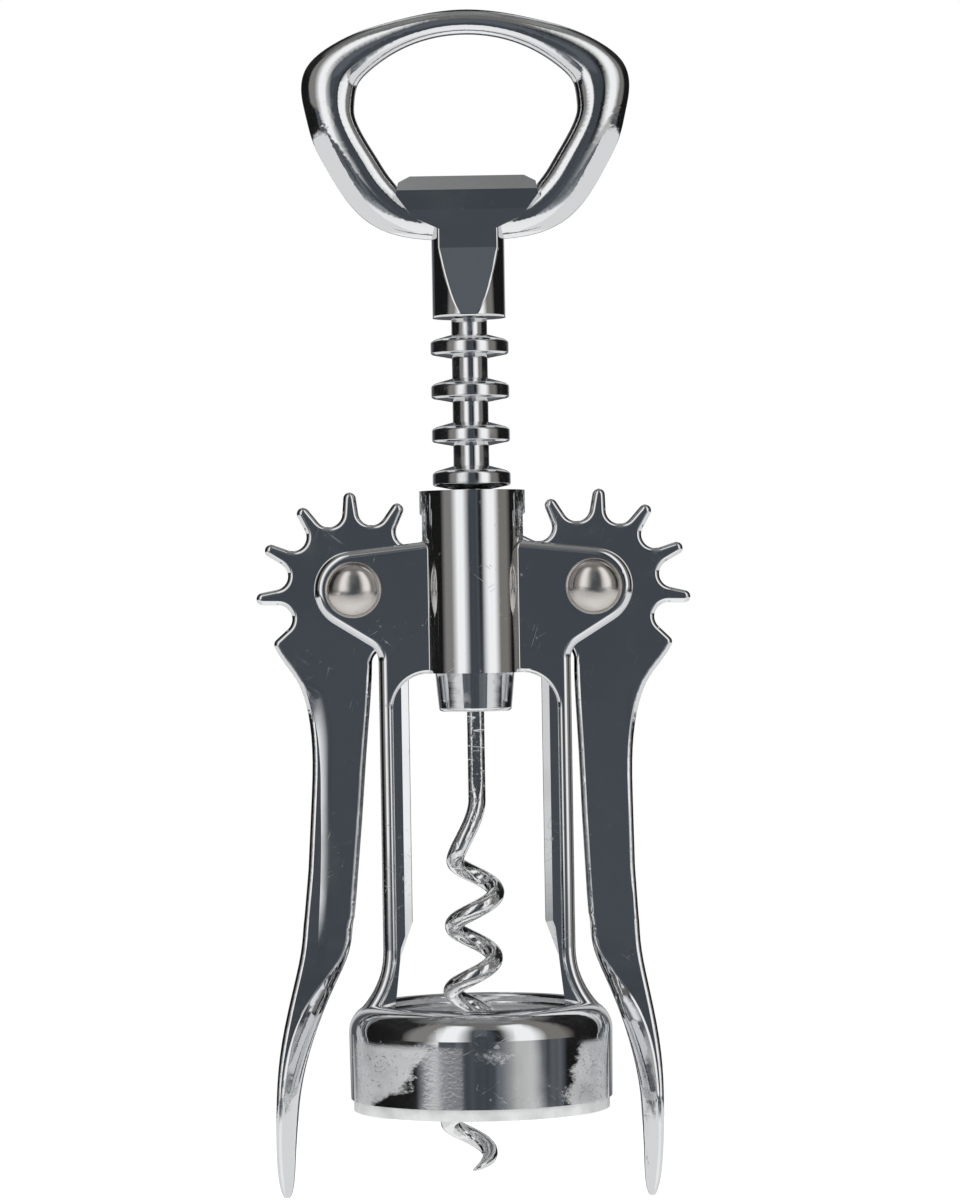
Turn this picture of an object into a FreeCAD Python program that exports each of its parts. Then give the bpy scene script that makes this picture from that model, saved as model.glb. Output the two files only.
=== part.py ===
import FreeCAD, Part
import math
import os
import Sketcher

Vector = FreeCAD.Vector

# Wing corkscrew in millimetres. The worm's axis is Z, up; X runs across the two levers; the
# front is -Y. The origin is the centre of the bell's mouth.

# Driving sizes

DIMENSIONS = {
    # barrel and rack: the rings of the rack slide in the barrel
    "pivot_offset": 18.7,
    "pivot_height": 81.1,
    "rack_pitch": 6.83,
    "pitch_line_radius": 6.08,
    "ring_count": 8,
    "ring_radius": 6.1,
    "ring_band": 2.1,
    "ring_top_bevel": 0.95,
    "ring_bottom_bevel": 0.65,
    "ring_edge_round": 0.4,
    "stem_radius": 2.8,
    "slide_clearance": 0.1,
    "barrel_wall": 2.05,
    "barrel_end_gap": 1.25,
    "barrel_length": 28.4,
    "barrel_bead": 0.35,
    # cheeks of the frame on both sides of the levers
    "cheek_gap": 5.0,
    "cheek_wall": 2.0,
    "cheek_boss_radius": 6.1,
    "cheek_top_slope": 6.0,
    "cheek_under_slope": 32.0,
    "cheek_under_round": 2.8,
    "cheek_edge_round": 1.35,
    # legs of the frame: front and back flanges joined by an inner web
    "leg_outer": 14.95,
    "leg_flange": 2.15,
    "leg_edge_round": 0.7,
    "leg_land": 0.1,
    "arch_round": 5.6,
    "flare_rise": 8.5,
    "flare_outer_round": 14.0,
    "flare_inner_round": 16.0,
    "web_step": 2.4,
    "web_thickness": 2.8,
    "web_depth": 7.2,
    "web_bevel_width": 1.1,
    "web_bevel_depth": 0.4,
    "web_slope_rise": 12.5,
    "web_foot_rise": 7.0,
    "web_slope_inset": 2.0,
    "web_foot_inset": 2.9,
    "channel_rise": 1.5,
    "gear_clearance": 0.5,
    # bell
    "bell_radius": 20.55,
    "bell_mouth_draft": 0.15,
    "bell_wall": 2.0,
    "bell_height": 16.5,
    "bell_shoulder_round": 4.35,
    "bell_lip_round": 0.6,
    "foot_depth": 1.0,
    # liner pressed into the bell
    "liner_rim_height": 1.8,
    "liner_rim_inset": 0.45,
    "liner_wall": 1.6,
    "liner_cone": 1.4,
    "liner_height": 9.0,
    "press_clearance": 0.02,
    # rivets, the pivots of the levers
    "rivet_radius": 2.5,
    "rivet_head_radius": 4.2,
    "rivet_head_height": 2.4,
    "rivet_clinch_radius": 3.7,
    "rivet_clinch_height": 1.2,
    "rivet_dimple": 0.8,
    "pivot_clearance": 0.08,
    # levers
    "gear_fan_angle": 220.0,
    "gear_root_radius": 10.4,
    "tooth_tip_clearance": 0.7,
    "tooth_tip_round": 0.95,
    "tooth_taper": 6.0,
    "arm_inner_offset": 2.9,
    "arm_throat_round": 2.0,
    "lever_side_clearance": 0.2,
    "lever_edge_round": 0.8,
    "left_lever_lean": 1.3,
    "right_lever_lean": 1.3,
    # nose and worm, which turn with the handle
    "collar_gap": 2.6,
    "axial_clearance": 0.05,
    "turn_clearance": 0.08,
    "nose_height": 6.0,
    "nose_radius": 6.2,
    "nose_taper": 0.5,
    "nose_edge_round": 0.6,
    "worm_wire_radius": 1.35,
    "worm_radius": 3.25,
    "worm_pitch": 10.2,
    "worm_turns": 4.715,
    "worm_shank_drop": 13.9,
    "worm_bend_drop": 9.4,
    "worm_lean": 2.2,
    "worm_point_turn": 130.0,
    "worm_point_radius": 0.2,
    "worm_seat_depth": 16.0,
    # handle: heights are above the collar's base
    "collar_radius": 5.7,
    "loop_height": 48.2,
    "loop_top_band": 3.8,
    "loop_top_thickness": 4.6,
    "band_crest_share": 0.62,
    "band_land": 1.6,
    "tongue_thickness": 6.6,
    "tongue_cut_height": 10.8,
    "tongue_cut_swell": 0.15,
    "tongue_cut_start": 0.1,
    "tongue_edge_round": 0.5,
    "tongue_overlap": 1.5,
    "lip_height": 22.1,
    "lip_half_width": 8.9,
    "lip_thickness": 7.6,
    "lip_edge": 3.8,
    "lip_bevel": 2.3,
    "lip_swell": 3.0,
}

document = FreeCAD.newDocument("wing_corkscrew")
sheet = document.addObject("Spreadsheet::Sheet", "sizes")
for row, (alias, value) in enumerate(DIMENSIONS.items(), 1):
    sheet.set(f"A{row}", alias)
    sheet.set(f"B{row}", str(value))
    sheet.setAlias(f"B{row}", alias)
document.recompute()


class Size:
    """A number together with the sheet expression that it comes from."""

    def __init__(self, value, text):
        self.value = float(value)
        self.text = text

    def __float__(self):
        return self.value

    def __add__(self, other):
        other = as_size(other)
        return Size(self.value + other.value, f"({self.text} + {other.text})")

    def __sub__(self, other):
        other = as_size(other)
        return Size(self.value - other.value, f"({self.text} - {other.text})")

    def __mul__(self, other):
        other = as_size(other)
        return Size(self.value * other.value, f"({self.text} * {other.text})")

    def __truediv__(self, other):
        other = as_size(other)
        return Size(self.value / other.value, f"({self.text} / {other.text})")

    def __neg__(self):
        return self * -1

    def at_most(self, other):
        return Size(min(self.value, other.value), f"min({self.text}; {other.text})")

    def root(self):
        return Size(math.sqrt(self.value), f"sqrt({self.text})")

    def sine(self):
        return Size(math.sin(math.radians(self.value)), f"sin({self.text})")

    def cosine(self):
        return Size(math.cos(math.radians(self.value)), f"cos({self.text})")

    def tangent(self):
        return self.sine() / self.cosine()


def as_size(number):
    return number if isinstance(number, Size) else Size(number, repr(float(number)))


class Sheet:
    """Reads each named size from the spreadsheet."""

    def __getattr__(self, alias):
        return Size(sheet.get(alias), f"sizes.{alias}")


size = Sheet()


def bind(target, name, value):
    """Give a property its value and keep it tied to the sheet."""
    if isinstance(value, Size):
        target.setExpression(name, value.text)
    else:
        setattr(target, name, value)


def origin_part(body, role):
    return next(item for item in body.Origin.OriginFeatures if item.Role == role)


def new_sketch(body, label, plane, height=None):
    """An empty sketch on one of the body's own planes, lifted along its normal."""
    sketch = body.newObject("Sketcher::SketchObject", label)
    sketch.AttachmentSupport = (origin_part(body, plane), "")
    sketch.MapMode = "FlatFace"
    if height is not None:
        bind(sketch, "AttachmentOffset.Base.z", as_size(height))
    return sketch


def fix(sketch, kind, *where, value):
    """Add a dimension to a sketch and tie it to the sheet."""
    value = as_size(value)
    index = sketch.addConstraint(Sketcher.Constraint(kind, *where, value.value))
    if "sizes." in value.text:
        sketch.setExpression(f"Constraints[{index}]", value.text)


def add_outline(sketch, stops):
    """Closed outline through stops. A stop is (across, up) at the end of a straight run, or
    (across, up, radius, turn) at the end of an arc: turn 1 is counterclockwise, -1 clockwise."""
    places = [Vector(float(stop[0]), float(stop[1]), 0) for stop in stops]
    ends = []
    for index, stop in enumerate(stops):
        begin, finish = places[index - 1], places[index]
        if len(stop) == 2:
            ends.append((sketch.addGeometry(Part.LineSegment(begin, finish)), 1, 2))
            continue
        radius, turn = float(stop[2]), stop[3]
        chord = finish - begin
        side = Vector(-chord.y, chord.x, 0).normalize() * turn
        reach = math.sqrt(max(radius**2 - (chord.Length / 2) ** 2, 0))
        centre = begin + chord * 0.5 + side * reach
        first, last = (begin, finish) if turn > 0 else (finish, begin)
        angles = [math.atan2((p - centre).y, (p - centre).x) for p in (first, last)]
        if angles[1] < angles[0]:
            angles[1] += 2 * math.pi
        circle = Part.Circle(centre, Vector(0, 0, 1), radius)
        arc = sketch.addGeometry(Part.ArcOfCircle(circle, *angles))
        ends.append((arc, 1, 2) if turn > 0 else (arc, 2, 1))
    for index, stop in enumerate(stops):
        edge, _, tail = ends[index]
        after, head, _ = ends[(index + 1) % len(ends)]
        sketch.addConstraint(Sketcher.Constraint("Coincident", edge, tail, after, head))
        fix(sketch, "DistanceX", edge, tail, value=stop[0])
        fix(sketch, "DistanceY", edge, tail, value=stop[1])
        if len(stop) > 2:
            fix(sketch, "Radius", edge, value=stop[2])


def add_circle(sketch, across, up, radius):
    across, up, radius = as_size(across), as_size(up), as_size(radius)
    centre = Vector(float(across), float(up), 0)
    circle = sketch.addGeometry(Part.Circle(centre, Vector(0, 0, 1), float(radius)))
    fix(sketch, "DistanceX", circle, 3, value=across)
    fix(sketch, "DistanceY", circle, 3, value=up)
    fix(sketch, "Radius", circle, value=radius)


def new_body(label):
    body = document.addObject("PartDesign::Body", label)
    body.Label = label
    return body


def revolve(body, label, profile, kind="PartDesign::Revolution"):
    """Turn a closed profile of (radius, height) stops about the body's Z axis."""
    sketch = new_sketch(body, f"{label}_profile", "XZ_Plane")
    add_outline(sketch, profile)
    feature = body.newObject(kind, label)
    feature.Profile = sketch
    feature.ReferenceAxis = (origin_part(body, "Z_Axis"), [""])
    feature.Angle = 360
    return feature


def extrude(body, kind, label, sketch, length, both_ways=False, backwards=False):
    """Pad or pocket a sketch by a length, to both sides of its plane if asked."""
    feature = body.newObject(f"PartDesign::{kind}", label)
    feature.Profile = sketch
    bind(feature, "Length", length)
    if both_ways:
        feature.SideType = "Symmetric"
    feature.Reversed = backwards
    return feature


def middle_of(edge):
    return edge.valueAt((edge.FirstParameter + edge.LastParameter) / 2)


def dress_edges(body, kind, label, base, wanted):
    """A fillet or chamfer on the base's edges whose middle point satisfies a test."""
    document.recompute()
    edges = enumerate(base.Shape.Edges, 1)
    names = [f"Edge{number}" for number, edge in edges if wanted(middle_of(edge))]
    feature = body.newObject(f"PartDesign::{kind}", label)
    feature.Base = (base, names)
    return feature


def round_edges(body, label, base, radius, wanted):
    feature = dress_edges(body, "Fillet", label, base, wanted)
    bind(feature, "Radius", radius)
    return feature


# Places that several pieces share

pivot_x = size.pivot_offset
pivot_z = size.pivot_height
ring_half = size.ring_band / 2
bottom_ring = pivot_z - size.rack_pitch * 1.5
top_ring = bottom_ring + size.rack_pitch * (size.ring_count - 1)
barrel_base = bottom_ring - ring_half - size.ring_bottom_bevel - size.barrel_end_gap
collar_base = top_ring + ring_half + size.ring_top_bevel + size.collar_gap
bore_radius = size.ring_radius + size.slide_clearance
barrel_radius = bore_radius + size.barrel_wall
frame_depth = size.cheek_gap + size.cheek_wall * 2
leg_inner = size.leg_outer - size.leg_flange
flare_top = size.bell_height + size.flare_rise
foot_height = size.bell_height - size.foot_depth
bell_inner = size.bell_radius - size.bell_wall
gear_tip_radius = pivot_x - size.stem_radius - size.tooth_tip_clearance
gear_room = gear_tip_radius + size.gear_clearance
nose_base = barrel_base - size.nose_height
sleeve_base = barrel_base + size.axial_clearance
sleeve_top = collar_base - size.axial_clearance


# Frame: one casting of barrel, cheeks, legs and bell


def flare(edge, bend, height):
    """How far out a leg's edge has curved at a height below where its flare begins."""
    drop = flare_top - height
    return edge + bend - (bend * bend - drop * drop).root()


def flange_side():
    """Front view of one side: arch, leg, foot, cheek and boss, up to the top edge."""
    slope, top = size.cheek_under_slope, size.cheek_top_slope
    boss, bend = size.cheek_boss_radius, size.cheek_under_round
    under_x = pivot_x + boss * slope.sine()
    under_z = pivot_z - boss * slope.cosine()
    bend_x = size.leg_outer + bend - bend * slope.sine()
    bend_z = under_z - (under_x - bend_x) * slope.tangent()
    inner_bend, outer_bend = size.flare_inner_round, size.flare_outer_round
    return [
        (leg_inner - size.arch_round, barrel_base),
        (leg_inner, barrel_base - size.arch_round, size.arch_round, -1),
        (leg_inner, flare_top),
        (flare(leg_inner, inner_bend, foot_height), foot_height, inner_bend, 1),
        (flare(size.leg_outer, outer_bend, foot_height), foot_height),
        (size.leg_outer, flare_top, outer_bend, -1),
        (size.leg_outer, bend_z - bend * slope.cosine()),
        (bend_x, bend_z, bend, -1),
        (under_x, under_z),
        (pivot_x + boss, pivot_z, boss, 1),
        (pivot_x + boss * top.sine(), pivot_z + boss * top.cosine(), boss, 1),
    ]


def web_side():
    """Front view of the web of one leg, from its foot up into the arch."""
    inner = leg_inner - size.web_step
    back = inner + size.web_thickness
    slope_top = size.bell_height + size.web_slope_rise
    return [
        (inner, slope_top),
        (inner + size.web_slope_inset, size.bell_height + size.web_foot_rise),
        (inner + size.web_foot_inset, foot_height),
        (back + size.web_foot_inset, foot_height),
        (back, slope_top),
        (back, barrel_base),
        (inner, barrel_base),
    ]


def left_of(stops):
    """The same outline on the left side, in the same order."""
    return [
        (-as_size(stop[0]), stop[1]) + ((stop[2], -stop[3]) if len(stop) > 2 else ())
        for stop in stops
    ]


def back_along(stops):
    """The same open run of stops, walked the other way."""
    result = [tuple(stops[-1][:2])]
    for stop, after in zip(reversed(stops[:-1]), reversed(stops[1:])):
        arc = (after[2], -after[3]) if len(after) > 2 else ()
        result.append((stop[0], stop[1]) + arc)
    return result


def make_frame():
    body = new_body("frame")
    side = flange_side()
    peak = side[-1][1] + side[-1][0] * size.cheek_top_slope.tangent()
    sketch = new_sketch(body, "flange_outline", "XZ_Plane")
    add_outline(sketch, side + [(0, peak)] + back_along(left_of(side)))
    plate = extrude(body, "Pad", "cheeks_and_legs", sketch, frame_depth, both_ways=True)

    def inner_edge(height):
        """Distance of a leg's inner edge from the axis at a height."""
        bend = float(size.flare_inner_round)
        drop = max(float(flare_top) - height, 0)
        return float(leg_inner) + bend - math.sqrt(bend**2 - drop**2)

    def on_plane(point, depth):
        """Whether a place above the foot lies on one of the two planes that deep apart."""
        return abs(abs(point.y) - float(depth) / 2) < 0.01 and point.z > float(foot_height) + 0.01

    def between_legs(point):
        below_barrel = point.z < float(barrel_base) + 0.01
        return below_barrel and abs(point.x) < inner_edge(point.z) + 0.01

    def is_inner(point):
        return on_plane(point, frame_depth) and between_legs(point)

    def is_outer(point):
        return on_plane(point, frame_depth) and not between_legs(point)

    def is_barrel_corner(point):
        """The upright corners where the barrel meets the cheeks' flat faces."""
        on_barrel = abs(math.hypot(point.x, point.y) - float(barrel_radius)) < 0.01
        return on_barrel and on_plane(point, frame_depth)

    def is_web_corner(point):
        """The web's long corners and the slopes below them, down to where the web runs out."""
        along = abs(point.x) < float(leg_inner - size.web_step) + 0.01
        slope_top = float(size.bell_height + size.web_slope_rise)
        slope_base = float(size.bell_height + size.web_foot_rise)
        on_slope = slope_base < point.z < slope_top
        return on_plane(point, size.web_depth) and (along or on_slope)

    inner_round = size.leg_edge_round.at_most((size.leg_flange - size.leg_land) / 2)
    outer_round = size.cheek_edge_round.at_most(size.leg_flange - size.leg_land - inner_round)
    outer = round_edges(body, "outer_rounds", plate, outer_round, is_outer)
    round_edges(body, "inner_rounds", outer, inner_round, is_inner)

    for label, stops in (("right", web_side()), ("left", left_of(web_side()))):
        sketch = new_sketch(body, f"{label}_web_outline", "XZ_Plane")
        add_outline(sketch, stops)
        web = extrude(body, "Pad", f"{label}_web", sketch, size.web_depth, both_ways=True)
    for label, side in (("right", 1), ("left", -1)):
        web = dress_edges(
            body,
            "Chamfer",
            f"{label}_web_bevels",
            web,
            lambda middle: is_web_corner(middle) and middle.x * side > 0,
        )
        web.ChamferType = "Two distances"
        web.FlipDirection = side < 0
        bind(web, "Size", size.web_bevel_width)
        bind(web, "Size2", size.web_bevel_depth)

    barrel = new_sketch(body, "barrel_circle", "XY_Plane", barrel_base)
    add_circle(barrel, 0, 0, barrel_radius)
    tube = extrude(body, "Pad", "barrel", barrel, size.barrel_length)
    round_edges(body, "barrel_beads", tube, size.barrel_bead, is_barrel_corner)

    shoulder_r = size.bell_radius - size.bell_shoulder_round
    shoulder_z = size.bell_height - size.bell_shoulder_round
    lip_r = shoulder_r - size.bell_lip_round
    hollow = size.bell_shoulder_round - size.bell_wall
    revolve(
        body,
        "bell",
        [
            (bell_inner, size.liner_rim_height),
            (size.bell_radius - size.bell_mouth_draft, size.liner_rim_height),
            (size.bell_radius, shoulder_z),
            (shoulder_r, size.bell_height, size.bell_shoulder_round, 1),
            (lip_r, size.bell_height - size.bell_lip_round, size.bell_lip_round, 1),
            (lip_r, shoulder_z + hollow),
            (shoulder_r, shoulder_z + hollow),
            (bell_inner, shoulder_z, hollow, -1),
        ],
    )

    floor = leg_inner - size.web_step + size.web_thickness
    far = pivot_x + size.cheek_boss_radius * 2
    reach = (gear_room * gear_room - (pivot_x - floor) * (pivot_x - floor)).root()
    channel_base = size.bell_height + size.channel_rise
    slot = [
        (floor, size.bell_height + size.web_slope_rise),
        (floor, pivot_z - reach),
        (pivot_x, pivot_z + gear_room, gear_room, -1),
        (far, pivot_z + gear_room),
        (far, channel_base),
        (floor + size.web_foot_inset, channel_base),
    ]
    for label, stops in (("right", slot), ("left", left_of(slot))):
        sketch = new_sketch(body, f"{label}_slot_outline", "XZ_Plane")
        add_outline(sketch, stops)
        extrude(body, "Pocket", f"{label}_slot", sketch, size.cheek_gap, both_ways=True)

    bore = new_sketch(body, "bore_circle", "XY_Plane", barrel_base + size.barrel_length)
    add_circle(bore, 0, 0, bore_radius)
    extrude(body, "Pocket", "bore", bore, size.barrel_length + size.arch_round)

    holes = new_sketch(body, "rivet_hole_circles", "XZ_Plane")
    hole_radius = size.rivet_radius + size.press_clearance
    for side in (1, -1):
        add_circle(holes, pivot_x * side, pivot_z, hole_radius)
    extrude(body, "Pocket", "rivet_holes", holes, frame_depth * 2, both_ways=True)
    return body


# Liner of the bell: a plastic ring whose rim covers the bell's edge


def make_liner():
    body = new_body("bell_liner")
    outer = bell_inner - size.press_clearance
    revolve(
        body,
        "ring",
        [
            (outer - size.liner_wall, 0),
            (size.bell_radius - size.bell_mouth_draft - size.liner_rim_inset, 0),
            (
                size.bell_radius - size.bell_mouth_draft - size.liner_rim_inset,
                size.liner_rim_height,
            ),
            (outer, size.liner_rim_height),
            (outer, size.liner_height),
            (outer - size.liner_wall - size.liner_cone, size.liner_height),
        ],
    )
    return body


# Rivets: domed head in front, clinched over a dimple behind


def make_rivet(label, side):
    body = new_body(label)
    seat = frame_depth / 2
    dome, rise = size.rivet_head_radius, size.rivet_head_height
    dome_round = (dome * dome + rise * rise) / (rise * 2)
    clinch, height = size.rivet_clinch_radius, size.rivet_clinch_height
    dimple = size.rivet_dimple
    revolve(
        body,
        "rivet",
        [
            (0, -(seat + height - dimple)),
            (size.rivet_radius / 2, -(seat + height)),
            (clinch - height, -(seat + height)),
            (clinch, -seat, height, 1),
            (size.rivet_radius, -seat),
            (size.rivet_radius, seat),
            (dome, seat),
            (0, seat + rise, dome_round, 1),
        ],
    )
    body.Placement = FreeCAD.Placement(
        Vector(float(pivot_x) * side, 0, float(pivot_z)),
        FreeCAD.Rotation(Vector(1, 0, 0), 90),
    )
    bind(body, "Placement.Base.x", pivot_x * side)
    bind(body, "Placement.Base.z", pivot_z)
    return body


# Rack sleeve: a tube with equal rings, one gap level with the pivots


def make_rack():
    body = new_body("rack_sleeve")
    bore = size.worm_wire_radius + size.turn_clearance
    revolve(
        body,
        "stem",
        [
            (bore, sleeve_base),
            (size.stem_radius, sleeve_base),
            (size.stem_radius, sleeve_top),
            (bore, sleeve_top),
        ],
    )
    bend = size.ring_edge_round
    inside = (bore + size.stem_radius) / 2
    ring = revolve(
        body,
        "ring",
        [
            (inside, top_ring - ring_half - size.ring_bottom_bevel),
            (size.stem_radius, top_ring - ring_half - size.ring_bottom_bevel),
            (size.ring_radius - bend, top_ring - ring_half),
            (size.ring_radius, top_ring - ring_half + bend, bend, 1),
            (size.ring_radius, top_ring + ring_half - bend),
            (size.ring_radius - bend, top_ring + ring_half, bend, 1),
            (size.stem_radius, top_ring + ring_half + size.ring_top_bevel),
            (inside, top_ring + ring_half + size.ring_top_bevel),
        ],
    )
    document.recompute()
    pattern = body.newObject("PartDesign::LinearPattern", "rings")
    pattern.Originals = [ring]
    pattern.Direction = (origin_part(body, "Z_Axis"), [""])
    pattern.Reversed = True
    pattern.Mode = "Spacing"
    bind(pattern, "Offset", size.rack_pitch)
    bind(pattern, "Occurrences", size.ring_count)
    body.Tip = pattern
    return body


# Nose ferrule: tapered end piece pressed on the worm's shank


def make_nose():
    body = new_body("nose_ferrule")
    bore = size.worm_wire_radius + size.press_clearance
    bend = size.nose_edge_round
    end = size.nose_radius - size.nose_taper
    revolve(
        body,
        "ferrule",
        [
            (bore, nose_base),
            (end - bend, nose_base),
            (end, nose_base + bend, bend, 1),
            (size.nose_radius, barrel_base),
            (bore, barrel_base),
        ],
    )
    return body


def flat(x, z, y=0):
    return Vector(x, y, z)


def make_feature(label, shape, across=0, up=0, lean=0):
    """A sub-part of free form, made from the sheet's sizes about its own origin."""
    feature = document.addObject("Part::Feature", label)
    feature.Label = label
    feature.Shape = shape
    across, up = as_size(across), as_size(up)
    turn = FreeCAD.Rotation(Vector(0, 1, 0), float(lean))
    feature.Placement = FreeCAD.Placement(flat(float(across), float(up)), turn)
    bind(feature, "Placement.Base.x", across)
    bind(feature, "Placement.Base.z", up)
    return feature


# Worm: one wire, straight in the sleeve, then a right-handed helix to a ground point


# How straight the bend leaves the shank and arrives in the helix, as shares of its drop, and
# how late the ground point thins
BEND_LEAVE = 1.06
BEND_ARRIVE = 0.55
POINT_FULLNESS = 2.2


def worm_place(way):
    """Centre of the wire below the nose: way runs from 0 to 1 through the bend, then on by
    one for each turn of the helix."""
    reach, pitch = float(size.worm_radius), float(size.worm_pitch)
    drop = float(size.worm_bend_drop)
    lean = math.tan(math.radians(float(size.worm_lean)))
    start = -float(size.worm_shank_drop)
    if way > 1:
        turn = 2 * math.pi * (way - 1)
        fall = drop + pitch * (way - 1)
        return Vector(
            -reach * math.cos(turn) - lean * fall, reach * math.sin(turn), start - fall
        )
    # the bend is a cubic that leaves along the shank and arrives along the helix
    down = way**3 - 2 * way**2 + way
    over = 3 * way**2 - 2 * way**3
    turned = way**3 - way**2
    climb = Vector(-lean, 2 * math.pi * reach / pitch, -1) * (drop * BEND_ARRIVE)
    end = Vector(-reach - lean * drop, 0, -drop)
    return Vector(0, 0, start - drop * BEND_LEAVE * down) + end * over + climb * turned


def worm_heading(way):
    step = 0.001
    return (worm_place(way + step) - worm_place(way - step)).normalize()


def wire_ring(centre, heading, radius):
    circle = Part.Circle(centre, heading, radius)
    return Part.Wire(circle.toShape())


def biarc(begin, heading, finish, final_heading):
    """Two tangent arcs between two places with given headings."""
    gap = finish - begin
    both = heading + final_heading
    square = 2 * (1 - heading.dot(final_heading))
    along = gap.dot(both)
    if square < 1e-9:
        reach = gap.dot(gap) / (4 * gap.dot(final_heading))
    else:
        reach = (-along + math.sqrt(along**2 + square * gap.dot(gap))) / square
    first = begin + heading * reach
    second = finish - final_heading * reach
    joint = (first + second) * 0.5
    return [
        arc_from(begin, heading, joint),
        arc_from(joint, (second - first).normalize(), finish),
    ]


def arc_from(begin, heading, finish):
    """The arc that leaves a place with a heading and ends at another place."""
    chord = finish - begin
    across = chord - heading * chord.dot(heading)
    if across.Length < 1e-7:
        return Part.makeLine(begin, finish)
    across.normalize()
    radius = chord.dot(chord) / (2 * chord.dot(across))
    centre = begin + across * radius
    middle = begin + chord * 0.5 - centre
    if chord.dot(heading) < 0:
        middle = middle * -1
    return Part.Arc(begin, centre + middle.normalize() * radius, finish).toShape()


def make_worm():
    radius = float(size.worm_wire_radius)
    top = flat(0, float(size.worm_seat_depth + collar_base - nose_base))
    body_end = 1 + float(size.worm_turns) - float(size.worm_point_turn) / 360
    quarters = math.ceil((body_end - 1) * 4)
    ways = [0, 0.25, 0.5, 0.75] + [1 + (body_end - 1) * n / quarters for n in range(quarters + 1)]
    edges = [Part.makeLine(top, worm_place(0))]
    for upper, lower in zip(ways, ways[1:]):
        heading = Vector(0, 0, -1) if upper == 0 else worm_heading(upper)
        edges += biarc(worm_place(upper), heading, worm_place(lower), worm_heading(lower))
    pipe = Part.BRepOffsetAPI.MakePipeShell(Part.Wire(edges))
    pipe.add(wire_ring(top, Vector(0, 0, -1), radius))
    pipe.build()
    pipe.makeSolid()

    # the ground point thins from the full wire to a small blunt end
    rings = 9
    thin = float(size.worm_point_radius)
    sections = []
    for ring in range(rings + 1):
        share = ring / rings
        way = body_end + (1 + float(size.worm_turns) - body_end) * share
        ground = thin + (radius - thin) * (1 - share**POINT_FULLNESS)
        sections.append(wire_ring(worm_place(way), worm_heading(way), ground))
    point = Part.makeLoft(sections, True, False)
    return make_feature("worm", pipe.shape().fuse(point), up=nose_base)


# Levers: toothed gear end and upper arm in one plate, lower arm blended into a leaf


# Front view of the upper arm about the pivot, from the gear down to where the leaf begins
ARM_OUTER_EDGE = ((8.6, -14.4), (6.9, -19.6), (6.25, -26.1), (6.4, -34.1), (6.7, -42.1))
ARM_INNER_EDGE = ((-2.55, -19.1), (-2.0, -27.1), (-1.55, -35.1), (-1.0, -43.1))
ARM_END = (7.35, -0.4, -51.1)
ARM_END_HEADINGS = ((0.08, -1), (0.1, -1))

# Stations down the lower arm: height below the pivot, outer edge, inner edge, depth of the
# flat side face from the outer edge, growth of the half width beyond the plate's
ARM_STATIONS = (
    (-53.6, 7.56, -0.05, 7.4, 0.0),
    (-56.1, 7.8, 0.35, 7.0, 0.05),
    (-60.6, 8.65, 2.1, 4.7, 0.4),
    (-65.1, 9.65, 4.05, 2.6, 1.0),
    (-70.1, 10.6, 5.85, 1.5, 1.9),
    (-75.6, 11.2, 7.3, 1.15, 2.75),
    (-79.6, 11.35, 7.95, 1.05, 3.1),
    (-82.6, 11.4, 8.2, 1.05, 2.75),
    (-86.6, 11.4, 8.45, 0.95, 1.85),
    (-90.1, 11.25, 8.6, 0.9, 0.95),
    (-92.9, 10.9, 8.8, 0.8, 0.05),
    (-94.4, 10.5, 9.1, 0.6, -0.85),
    (-95.0, 10.2, 9.4, 0.35, -1.5),
)


def polar(radius, degrees):
    """A place in the lever's plane about its pivot, angles from the rack side upwards."""
    angle = math.radians(180 - degrees)
    return flat(radius * math.cos(angle), radius * math.sin(angle))


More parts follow.
